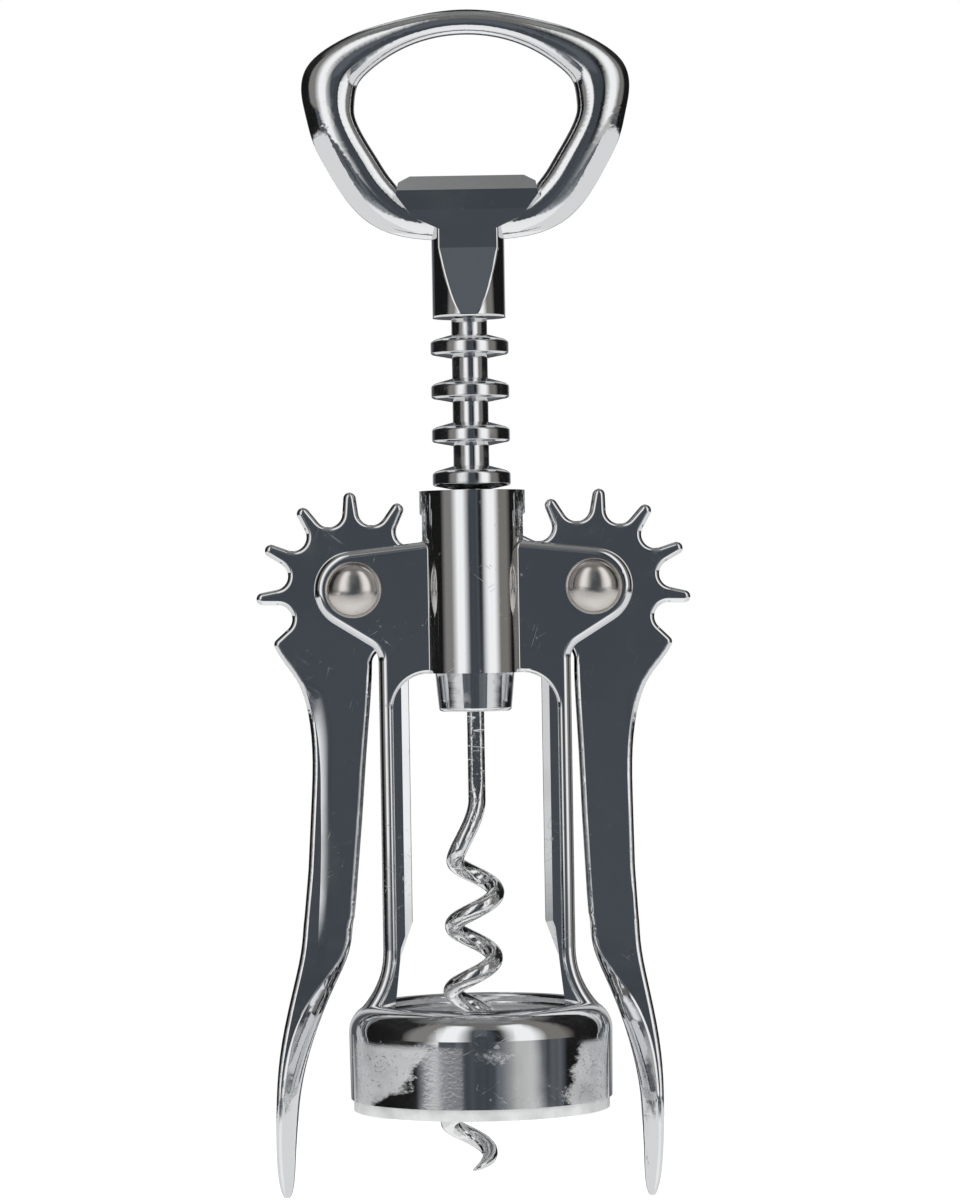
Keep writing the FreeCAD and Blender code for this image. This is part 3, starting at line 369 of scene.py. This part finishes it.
def grow(piece, tree, values, crease):
    """Run a geometry tree on a piece with these sizes and keep its plain mesh."""
    modifier = piece.modifiers.new("grow", "NODES")
    modifier.node_group = tree
    for item in tree.interface.items_tree:
        if item.name in values:
            modifier[item.identifier] = values[item.name]
    found = bpy.context.evaluated_depsgraph_get()
    mesh = bpy.data.meshes.new_from_object(piece.evaluated_get(found), depsgraph=found)
    piece.modifiers.remove(modifier)
    piece.data = mesh
    mesh.name = piece.name
    mesh.shade_smooth()
    mesh.set_sharp_from_angle(angle=math.radians(crease))
    return piece


def finish_rivets():
    material, tree, shader, place = start_metal("rivet_steel", (0.74, 0.705, 0.67), 0.26)
    height = add_node(tree, "ShaderNodeSeparateXYZ", {0: place}).outputs["Z"]
    wobble = add_math(tree, "MULTIPLY_ADD", speckle(tree, place, 0.003, 3.0), 0.0012, height)
    dull = fade(tree, wobble, 0.0812, 0.0806)
    grain = speckle(tree, place, 0.0007, 3.0)
    tree.links.new(add_math(tree, "MULTIPLY_ADD", dull, 0.24, 0.20), shader.inputs["Roughness"])
    rise = add_math(tree, "MULTIPLY", grain, add_math(tree, "MULTIPLY_ADD", dull, 0.035, 0.006))
    add_relief(tree, shader, rise)
    return material


def make_rivets():
    rivet = bmesh.new()
    profile = [
        (0.0, -0.0049, 0),
        (0.00125, -0.0057, 0.0004),
        (0.0025, -0.0057, 0),
        (0.0037, -0.0045, 0),
        (0.0025, -0.0045, 0),
        (0.0025, 0.0045, 0),
    ]
    points = round_corners(profile)
    # a turned-down rim stands round the foot of the dome
    points += round_corners([(0.00438, 0.0045, 0), (0.00438, 0.00482, 0.00022), (0.00404, 0.00462, 0)], 5)
    for step in range(1, 17):
        share = math.radians(90 * step / 16)
        points.append(Vector((0.00400 * math.cos(share), 0.00465 + 0.00225 * math.sin(share))))
    turn_profile(rivet, points, 72)
    bmesh.ops.rotate(rivet, verts=rivet.verts, matrix=Matrix.Rotation(math.radians(90), 3, "X"))
    piece = settle_shape("rivets", rivet)
    tree, given = open_tree(
        "rivets_on_pivots", {"Pivot Offset": "NodeSocketFloat", "Pivot Height": "NodeSocketFloat"}
    )
    left = add_math(tree, "MULTIPLY", given["Pivot Offset"], -1.0)
    step = add_math(tree, "MULTIPLY", given["Pivot Offset"], 2.0)
    start = add_node(tree, "ShaderNodeCombineXYZ", {"X": left, "Z": given["Pivot Height"]})
    gap = add_node(tree, "ShaderNodeCombineXYZ", {"X": step})
    line = add_node(
        tree,
        "GeometryNodeMeshLine",
        {"Count": 2, "Start Location": start.outputs[0], "Offset": gap.outputs[0]},
    )
    placed = add_node(
        tree, "GeometryNodeInstanceOnPoints", {"Points": line.outputs[0], "Instance": given["Geometry"]}
    )
    close_tree(tree, placed.outputs[0], finish_rivets())
    grow(piece, tree, {"Pivot Offset": pivot_offset, "Pivot Height": pivot_height}, 38)
    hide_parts("left_rivet", "right_rivet")
    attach(piece, "frame")


make_rivets()

# Levers
# Two zinc castings, mirror images: a gear end between the cheeks and an arm that ends in a leaf.
# Plated like the frame. A soft shade runs down the outer side, where the arm's face rolls over.


def finish_levers():
    material, tree, shader, place, rough, height = plate_with_chrome("lever_plating", 0.03, 0.0006, 0.5)
    parts = add_node(tree, "ShaderNodeSeparateXYZ", {0: place}).outputs
    # distance out from the pivot in each lever's own frame, which leans a little
    lean = math.tan(math.radians(1.3))
    rise = add_math(tree, "SUBTRACT", parts["Z"], pivot_height)
    places = []
    for side in (1.0, -1.0):
        across = add_math(tree, "MULTIPLY_ADD", parts["X"], side, -pivot_offset)
        places.append(add_math(tree, "MULTIPLY_ADD", rise, lean * side, across))
    right = fade(tree, parts["X"], -0.0005, 0.0005)
    across = add_node(tree, "ShaderNodeMix", {"Factor": right, "A": places[1], "B": places[0]}).outputs[0]
    # the arm's outer edge: how far out it is, in hundredths of a metre, at each drop below the
    # pivot, in tenths of a metre
    outer_edge = (
        (0.144, 0.86),
        (0.196, 0.69),
        (0.261, 0.625),
        (0.341, 0.64),
        (0.421, 0.67),
        (0.511, 0.735),
        (0.561, 0.78),
        (0.651, 0.965),
    )
    fall = add_math(tree, "SUBTRACT", pivot_height, parts["Z"])
    table = add_node(tree, "ShaderNodeFloatCurve", {"Value": add_math(tree, "DIVIDE", fall, 0.1)})
    points = table.mapping.curves[0].points
    points[0].location = outer_edge[0]
    points[1].location = outer_edge[-1]
    for stop in outer_edge[1:-1]:
        points.new(*stop)
    table.mapping.update()
    outer = add_math(tree, "MULTIPLY", table.outputs[0], 0.01)
    depth = add_math(tree, "SUBTRACT", outer, across)
    # the face falls away towards that edge over a band that starts below the gear
    width = add_math(tree, "MULTIPLY_ADD", fade(tree, fall, 0.030, 0.018), 0.0010, 0.0017)
    inside = add_math(tree, "DIVIDE", add_math(tree, "SUBTRACT", width, depth), width, clamp=True)
    along = stretch(tree, fall, 0.0138, 0.0170, 0.046, 0.060)
    drop = add_math(tree, "MULTIPLY", add_math(tree, "MULTIPLY", inside, inside), along)
    drop = add_math(tree, "MULTIPLY", drop, width)
    height = add_math(tree, "MULTIPLY_ADD", drop, -82.0, height)
    smear = speckle(tree, place, 0.007, 4.0, (1, 1, 0.45))
    haze = fade(tree, smear, 0.52, 0.66)
    rough = add_math(tree, "MULTIPLY_ADD", haze, 0.09, rough)
    tree.links.new(rough, shader.inputs["Roughness"])
    add_relief(tree, shader, height)
    return material


lever_plating = finish_levers()
finish_node("left_lever", lever_plating)
finish_node("right_lever", lever_plating)

# Rack
# A steel tube turned with eight equal rings, so that it drives the levers from every side while
# the worm turns in it. The lathe's fine marks show through the plating.


def finish_turned_work():
    material, tree, shader, place = start_metal("turned_plating", (0.80, 0.81, 0.82), 0.09)
    groove = speckle(tree, place, 0.0060, 3.0, (1, 1, 48))
    stain = fade(tree, speckle(tree, place, 0.0028, 3.0), 0.50, 0.68)
    tree.links.new(add_math(tree, "MULTIPLY_ADD", stain, 0.16, 0.08), shader.inputs["Roughness"])
    fine = add_math(tree, "MULTIPLY", groove, 0.0022)
    add_relief(tree, shader, add_math(tree, "MULTIPLY_ADD", speckle(tree, place, 0.005), 0.02, fine))
    return material


turned_plating = finish_turned_work()


def make_rack():
    shape = bmesh.new()
    repeats = shape.faces.layers.bool.new("repeats")
    ring = [
        (0.0021, -0.0017, 0),
        (0.0028, -0.0017, 0),
        (0.0058, -0.00112, 0.0002),
        (0.0061, -0.00085, 0.0002),
        (0.0061, 0.00085, 0.00045),
        (0.0054, 0.00128, 0.0009),
        (0.0028, 0.0020, 0.0002),
        (0.0021, 0.0020, 0),
    ]
    for face in turn_profile(shape, round_corners(ring, 4), 96):
        face[repeats] = True
    tube = [
        (0.00143, 0.067955, 0),
        (0.0028, 0.067955, 0.0002),
        (0.0028, 0.123215, 0.0002),
        (0.00143, 0.123215, 0),
    ]
    turn_profile(shape, round_corners(tube, 3), 96)
    piece = settle_shape("rack", shape)
    tree, given = open_tree(
        "rings_on_stem",
        {"Rings": "NodeSocketInt", "Pitch": "NodeSocketFloat", "Lowest Ring": "NodeSocketFloat"},
    )
    marked = add_node(tree, "GeometryNodeInputNamedAttribute", {"Name": "repeats"}, data_type="BOOLEAN")
    split = add_node(
        tree,
        "GeometryNodeSeparateGeometry",
        {"Geometry": given["Geometry"], "Selection": marked.outputs[0]},
        domain="FACE",
    )
    start = add_node(tree, "ShaderNodeCombineXYZ", {"Z": given["Lowest Ring"]})
    gap = add_node(tree, "ShaderNodeCombineXYZ", {"Z": given["Pitch"]})
    line = add_node(
        tree,
        "GeometryNodeMeshLine",
        {"Count": given["Rings"], "Start Location": start.outputs[0], "Offset": gap.outputs[0]},
    )
    rings = add_node(
        tree,
        "GeometryNodeInstanceOnPoints",
        {"Points": line.outputs[0], "Instance": split.outputs["Selection"]},
    )
    joined = add_node(tree, "GeometryNodeJoinGeometry", {"Geometry": rings.outputs[0]})
    tree.links.new(split.outputs["Inverted"], joined.inputs[0])
    close_tree(tree, joined.outputs[0], turned_plating)
    grow(piece, tree, {"Rings": 8, "Pitch": 0.00683, "Lowest Ring": 0.070855}, 30)
    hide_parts("rack_sleeve")
    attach(piece, "rack")


make_rack()

# Nose
# A tapered steel collar pressed on the shank below the rack. It closes the barrel's mouth.
finish_node("nose_ferrule", turned_plating)

# Worm
# One length of round wire, straight in the rack and wound into an open helix below it. The wire
# was drawn and bent rough and plated last. A flat runs down the front of its shank.


def finish_worm():
    material, tree, shader, place = start_metal("worm_plating", (0.80, 0.805, 0.81), 0.08)
    lumps = speckle(tree, place, 0.0021, 2.0, (1, 1, 0.75))
    nicks = fade(tree, speckle(tree, place, 0.0011, 2.0), 0.60, 0.70)
    height = add_math(tree, "MULTIPLY", lumps, 0.16)
    height = add_math(tree, "MULTIPLY_ADD", nicks, -0.025, height)
    # the flat of the shank is rough from the hammer, with marks across it
    up = add_node(tree, "ShaderNodeSeparateXYZ", {0: place}).outputs["Z"]
    shank = fade(tree, up, 0.0490, 0.0498)
    grain = add_math(tree, "MULTIPLY", speckle(tree, place, 0.0005), 0.06)
    marks = fade(tree, speckle(tree, place, 0.0040, 1.0, (0.3, 0.3, 2.6)), 0.60, 0.64)
    dents = add_math(tree, "MULTIPLY_ADD", marks, -0.08, grain)
    height = add_math(tree, "MULTIPLY_ADD", dents, shank, height)
    tree.links.new(add_math(tree, "MULTIPLY_ADD", nicks, 0.2, 0.08), shader.inputs["Roughness"])
    add_relief(tree, shader, height)
    return material


def make_worm():
    """Points down the wire come from a line, a bend and a spiral, and one sweep follows them."""
    sizes = ("Wire", "Reach", "Pitch", "Turns", "Lean", "Top", "Bend Top", "Bend Drop", "Point Turns")
    tree, given = open_tree("worm_from_wire", dict.fromkeys(sizes, "NodeSocketFloat"))

    def place_at(across=0.0, away=0.0, up=0.0):
        return add_node(tree, "ShaderNodeCombineXYZ", {"X": across, "Y": away, "Z": up}).outputs[0]

    def scale(vector, by):
        feeds = {0: vector, "Scale": by}
        return add_node(tree, "ShaderNodeVectorMath", feeds, operation="SCALE").outputs[0]

    def combine(operation, first, second):
        return add_node(tree, "ShaderNodeVectorMath", {0: first, 1: second}, operation=operation).outputs[0]

    bend_top = place_at(up=given["Bend Top"])
    bend_end_up = add_math(tree, "SUBTRACT", given["Bend Top"], given["Bend Drop"])
    sway = add_math(tree, "MULTIPLY", given["Lean"], given["Bend Drop"])
    bend_end_across = add_math(tree, "SUBTRACT", add_math(tree, "MULTIPLY", given["Reach"], -1.0), sway)
    bend_end = place_at(bend_end_across, 0.0, bend_end_up)
    # the bend leaves down the shank and arrives along the helix
    leave = place_at(up=add_math(tree, "MULTIPLY", given["Bend Drop"], -1.06 / 3))
    swing = add_math(tree, "DIVIDE", add_math(tree, "MULTIPLY", given["Reach"], 2 * math.pi), given["Pitch"])
    lean_back = add_math(tree, "MULTIPLY", given["Lean"], -1.0)
    share = add_math(tree, "MULTIPLY", given["Bend Drop"], 0.55 / 3)
    arrive = scale(place_at(lean_back, swing, -1.0), share)
    shank = add_node(
        tree, "GeometryNodeCurvePrimitiveLine", {"Start": place_at(up=given["Top"]), "End": bend_top}
    )
    bend = add_node(
        tree,
        "GeometryNodeCurvePrimitiveBezierSegment",
        {
            "Start": bend_top,
            "Start Handle": combine("ADD", bend_top, leave),
            "End Handle": combine("SUBTRACT", bend_end, arrive),
            "End": bend_end,
            "Resolution": 200,
        },
    )
    points = []
    for curve, count in ((shank, 90), (bend, 40)):
        dots = add_node(tree, "GeometryNodeCurveToPoints", {"Curve": curve.outputs[0], "Count": count})
        points.append(dots.outputs["Points"])
    # the helix: each point's turn comes from its number
    number = tree.nodes.new("GeometryNodeInputIndex").outputs[0]
    dots = add_node(tree, "GeometryNodePoints", {"Count": 420})
    turn = add_math(tree, "DIVIDE", add_math(tree, "ADD", number, 1.0), 420.0)
    turn = add_math(tree, "MULTIPLY", turn, given["Turns"])
    angle = add_math(tree, "MULTIPLY", turn, 2 * math.pi)
    fall = add_math(tree, "MULTIPLY_ADD", turn, given["Pitch"], given["Bend Drop"])
    across = add_math(tree, "MULTIPLY", add_math(tree, "COSINE", angle), given["Reach"])
    across = add_math(tree, "ADD", across, add_math(tree, "MULTIPLY", fall, given["Lean"]))
    away = add_math(tree, "MULTIPLY", add_math(tree, "SINE", angle), given["Reach"])
    spot = place_at(
        add_math(tree, "MULTIPLY", across, -1.0), away, add_math(tree, "SUBTRACT", given["Bend Top"], fall)
    )
    dots = add_node(tree, "GeometryNodeSetPosition", {"Geometry": dots.outputs[0], "Position": spot})
    points.append(dots.outputs[0])
    joined = tree.nodes.new("GeometryNodeJoinGeometry")
    for cloud in points:
        tree.links.new(cloud, joined.inputs[0])
    here = tree.nodes.new("GeometryNodeInputPosition").outputs[0]
    height = add_node(tree, "ShaderNodeSeparateXYZ", {0: here}).outputs["Z"]
    path = add_node(
        tree,
        "GeometryNodePointsToCurves",
        {"Points": joined.outputs[0], "Weight": add_math(tree, "MULTIPLY", height, -1.0)},
    )
    # the ground point thins over the last part of a turn
    left = add_math(tree, "MULTIPLY_ADD", given["Turns"], given["Pitch"], given["Bend Drop"])
    low = add_math(tree, "SUBTRACT", given["Bend Top"], left)
    above = add_math(tree, "SUBTRACT", height, low)
    ground = add_math(tree, "MULTIPLY", given["Point Turns"], given["Pitch"])
    thin = add_math(tree, "SUBTRACT", 1.0, add_math(tree, "DIVIDE", above, ground), clamp=True)
    thick = add_math(tree, "SUBTRACT", 1.0, add_math(tree, "POWER", thin, 2.2))
    radius = add_math(tree, "MULTIPLY_ADD", thick, 0.86, 0.14)
    radius = add_math(tree, "MULTIPLY", radius, given["Wire"])
    section = add_node(tree, "GeometryNodeCurvePrimitiveCircle", {"Resolution": 32, "Radius": 1.0})
    swept = add_node(
        tree,
        "GeometryNodeCurveToMesh",
        {
            "Curve": path.outputs[0],
            "Profile Curve": section.outputs[0],
            "Scale": radius,
            "Fill Caps": True,
        },
    )
    # the flat down the shank, hammered a little uneven, ends at the seam above the bend
    parts = add_node(tree, "ShaderNodeSeparateXYZ", {0: here}).outputs
    uneven = add_node(tree, "ShaderNodeTexNoise", {"Vector": here, "Scale": 620.0, "Detail": 1.0})
    flat = add_math(tree, "MULTIPLY_ADD", uneven.outputs[0], 0.00022, -0.00122)
    level = add_math(tree, "MAXIMUM", parts["Y"], flat)
    moved = place_at(parts["X"], level, parts["Z"])
    seam = add_math(tree, "ADD", given["Bend Top"], 0.0016)
    wanted = add_node(tree, "FunctionNodeCompare", {0: parts["Z"], 1: seam}, operation="GREATER_THAN")
    pressed = add_node(
        tree,
        "GeometryNodeSetPosition",
        {"Geometry": swept.outputs[0], "Selection": wanted.outputs[0], "Position": moved},
    )
    close_tree(tree, pressed.outputs[0], finish_worm())
    piece = settle_shape("worm_wire", bmesh.new())
    values = {
        "Wire": 0.00135,
        "Reach": 0.00325,
        "Pitch": 0.0102,
        "Turns": 4.715,
        "Lean": math.tan(math.radians(2.2)),
        "Top": 0.1392,
        "Bend Top": 0.061905 - 0.0139,
        "Bend Drop": 0.0094,
        "Point Turns": 130 / 360,
    }
    grow(piece, tree, values, 60)
    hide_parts("worm")
    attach(piece, "handle")


make_worm()

# Handle
# A zinc casting like the frame: a loop for the fingers, a lip below it for crown caps and a
# tongue that ends in a round collar, fixed on the end of the worm. It turns the worm.


def finish_handle():
    material, tree, shader, place, rough, height = plate_with_chrome("handle_plating", 0.05, 0.0006, 0.35)
    tree.links.new(rough, shader.inputs["Roughness"])
    # the collar's lower rim, the lowest part of the handle, is worn round
    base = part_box("handle")[0][2]
    up = add_node(tree, "ShaderNodeSeparateXYZ", {0: place}).outputs["Z"]
    rim = add_math(tree, "POWER", fade(tree, up, base + 0.0005, base), 2.0)
    height = add_math(tree, "MULTIPLY_ADD", rim, -0.16, height)
    add_relief(tree, shader, height)
    return material


finish_node("handle", finish_handle())

# Studio
# A pale round floor below the lowest reach of the worm, tall soft boxes beside the camera and
# behind, and dark screens round them, as jewellery and plated goods are lit.

floor_height = -0.050
floor_mesh = bpy.data.meshes.new("floor")
floor_shape = bmesh.new()
bmesh.ops.create_circle(floor_shape, cap_ends=True, segments=96, radius=0.42)
bmesh.ops.translate(floor_shape, verts=floor_shape.verts, vec=(0, 0, floor_height))
floor_shape.to_mesh(floor_mesh)
floor_shape.free()
floor = bpy.data.objects.new("floor", floor_mesh)
bpy.context.scene.collection.objects.link(floor)
floor_finish = bpy.data.materials.new("floor_finish")
floor_finish.use_nodes = True
tree = floor_finish.node_tree
tree.nodes["Principled BSDF"].inputs["Base Color"].default_value = (0.85, 0.85, 0.85, 1)
tree.nodes["Principled BSDF"].inputs["Roughness"].default_value = 0.9
tree.nodes["Principled BSDF"].inputs["Specular IOR Level"].default_value = 0.0
tree.nodes["Principled BSDF"].inputs["Emission Color"].default_value = (1, 1, 1, 1)
rays = tree.nodes.new("ShaderNodeLightPath")
seen = add_math(tree, "MAXIMUM", rays.outputs["Is Camera Ray"], rays.outputs["Is Transmission Ray"])
glow = add_math(tree, "MULTIPLY", seen, 0.35)
tree.links.new(glow, tree.nodes["Principled BSDF"].inputs["Emission Strength"])
# polished metal sees the room's own light past the small floor
clear = tree.nodes.new("ShaderNodeBsdfTransparent")
choice = add_node(
    tree,
    "ShaderNodeMixShader",
    {0: rays.outputs["Is Glossy Ray"], 1: tree.nodes["Principled BSDF"].outputs[0], 2: clear.outputs[0]},
)
tree.links.new(choice.outputs[0], tree.nodes["Material Output"].inputs["Surface"])
floor_mesh.materials.append(floor_finish)

# light that comes from the room
room = bpy.data.worlds.new("room")
bpy.context.scene.world = room
room.use_nodes = True
sky = room.node_tree
way = sky.nodes.new("ShaderNodeTexCoord").outputs["Generated"]


def darken(colour, amount):
    """A colour of the room multiplied by a number."""
    return add_node(sky, "ShaderNodeVectorMath", {0: colour, "Scale": amount}, operation="SCALE").outputs[0]


def add_screen(under, facing, half_width, low, high, colour, edge):
    """A flat rectangle far away in one direction, laid over what is there. Its width, height
    and soft edge are tangents seen from the object."""
    feeds = {"Vector": way, "Angle": math.radians(-facing)}
    turned = add_node(sky, "ShaderNodeVectorRotate", feeds, rotation_type="Z_AXIS")
    parts = add_node(sky, "ShaderNodeSeparateXYZ", {0: turned.outputs[0]})
    ahead = add_math(sky, "MULTIPLY", parts.outputs["Y"], -1.0)
    ahead = add_math(sky, "MAXIMUM", ahead, 0.001)
    across = add_math(sky, "ABSOLUTE", add_math(sky, "DIVIDE", parts.outputs["X"], ahead))
    up = add_math(sky, "DIVIDE", parts.outputs["Z"], ahead)
    beside = add_math(sky, "DIVIDE", add_math(sky, "SUBTRACT", half_width, across), edge, clamp=True)
    above = add_math(sky, "DIVIDE", add_math(sky, "SUBTRACT", up, low), 0.025, clamp=True)
    below = add_math(sky, "DIVIDE", add_math(sky, "SUBTRACT", high, up), edge * 1.5, clamp=True)
    within = add_math(sky, "MULTIPLY", add_math(sky, "MULTIPLY", beside, above), below)
    feeds = {"Factor": within, "A": under, "B": (*colour, 1)}
    return add_node(sky, "ShaderNodeMix", feeds, data_type="RGBA").outputs["Result"]


height = add_node(sky, "ShaderNodeSeparateXYZ", {0: way}).outputs["Z"]
rise = add_node(sky, "ShaderNodeValToRGB", {"Fac": add_math(sky, "MULTIPLY_ADD", height, 0.5, 0.5)})
ramp = rise.color_ramp
stops = (
    (-1.0, (1.0, 1.0, 1.0)),
    (-0.46, (0.95, 0.95, 0.95)),
    (-0.36, (0.30, 0.32, 0.34)),
    (-0.20, (0.11, 0.122, 0.138)),
    (-0.04, (0.075, 0.084, 0.095)),
    (0.02, (0.012, 0.012, 0.012)),
    (0.80, (0.02, 0.02, 0.02)),
    (0.93, (0.2, 0.2, 0.2)),
    (1.0, (0.24, 0.24, 0.24)),
)
while len(ramp.elements) < len(stops):
    ramp.elements.new(0.5)
for element, (sine, colour) in zip(ramp.elements, stops):
    element.position = (sine + 1) / 2
    element.color = (*colour, 1)
# the dark room in front is not even: its clouds show on the flat faces
clouds = add_node(sky, "ShaderNodeTexNoise", {"Vector": way, "Scale": 9.0, "Detail": 3.0}).outputs["Fac"]
dark_part = fade(sky, height, -0.42, -0.32)
uneven = add_math(sky, "MULTIPLY", add_math(sky, "MULTIPLY_ADD", clouds, 1.1, -0.55), dark_part)
uneven = add_math(sky, "ADD", uneven, 1.0)
view = darken(rise.outputs["Color"], uneven)
view = add_screen(view, 0, 0.25, -0.45, 3.0, (0.062, 0.072, 0.084), 0.06)
view = darken(view, uneven)

# direction from the camera's in degrees, half width, low and high edge, colour, soft edge
white, pale = (1.05, 1.05, 1.05), (0.80, 0.80, 0.80)
black = (0.010, 0.010, 0.010)
screens = (
    # behind: a grey wall with two dimmer boxes
    (180, 1.15, -0.4, 0.8, (0.085, 0.09, 0.10), 0.10),
    (165, 0.17, -0.12, 1.9, (0.6, 0.6, 0.6), 0.12),
    (-165, 0.17, -0.12, 1.9, (0.6, 0.6, 0.6), 0.12),
    # at the sides: black cloths over a pale table
    (-97, 0.90, -0.3, 0.6, black, 0.15),
    (112, 0.75, -0.3, 0.6, black, 0.15),
    (-95, 1.6, -9.0, -0.17, pale, 0.03),
    (95, 1.6, -9.0, -0.17, pale, 0.03),
    # in front: a grey ceiling and a slate card
    (0, 1.6, 0.9, 3.6, (0.17, 0.165, 0.16), 0.50),
    (0, 0.14, 0.28, 0.9, (0.105, 0.120, 0.135), 0.04),
    # the two soft boxes, with dim curtains beyond them and the right one's reflector below it
    (64, 0.50, -0.12, 2.6, (0.21, 0.20, 0.185), 0.25),
    (-55, 0.34, -0.06, 2.2, (0.24, 0.23, 0.22), 0.20),
    (36, 0.34, -0.17, 1.9, (0.55, 0.55, 0.54), 0.26),
    (-28, 0.37, -0.085, 1.9, white, 0.26),
    (40, 0.37, -0.085, 1.9, white, 0.26),
)
for screen in screens:
    view = add_screen(view, *screen)

# what the metal mirrors, what lights dull surfaces and what the camera sees
rays = sky.nodes.new("ShaderNodeLightPath").outputs
feeds = {"Factor": rays["Is Glossy Ray"], "A": (1, 1, 1, 1), "B": view}
mirrored = add_node(sky, "ShaderNodeMix", feeds, data_type="RGBA").outputs["Result"]
feeds = {"Factor": rays["Is Camera Ray"], "A": mirrored, "B": (1, 1, 1, 1)}
light = add_node(sky, "ShaderNodeMix", feeds, data_type="RGBA").outputs["Result"]
sky.links.new(light, sky.nodes["Background"].inputs["Color"])

# Camera
# It stands 703 mm in front, level with the middle of the object, with a long lens, and is
# turned about its own axis by a degree.
distance = 0.703
level = 0.07922
aside = 0.000984
lens = bpy.data.cameras.new("camera")
lens.lens = 135.0
lens.clip_start = 0.05
camera = bpy.data.objects.new("camera", lens)
bpy.context.scene.collection.objects.link(camera)
lean = math.radians(0.95)
right = Vector((math.cos(lean), 0, -math.sin(lean)))
up = Vector((math.sin(lean), 0, math.cos(lean)))
turn = Matrix((right, up, Vector((0, -1, 0)))).transposed().to_4x4()
camera.matrix_world = Matrix.Translation(Vector((0, -distance, level)) + right * aside) @ turn
bpy.context.scene.camera = camera

bpy.context.scene.view_settings.view_transform = "Standard"
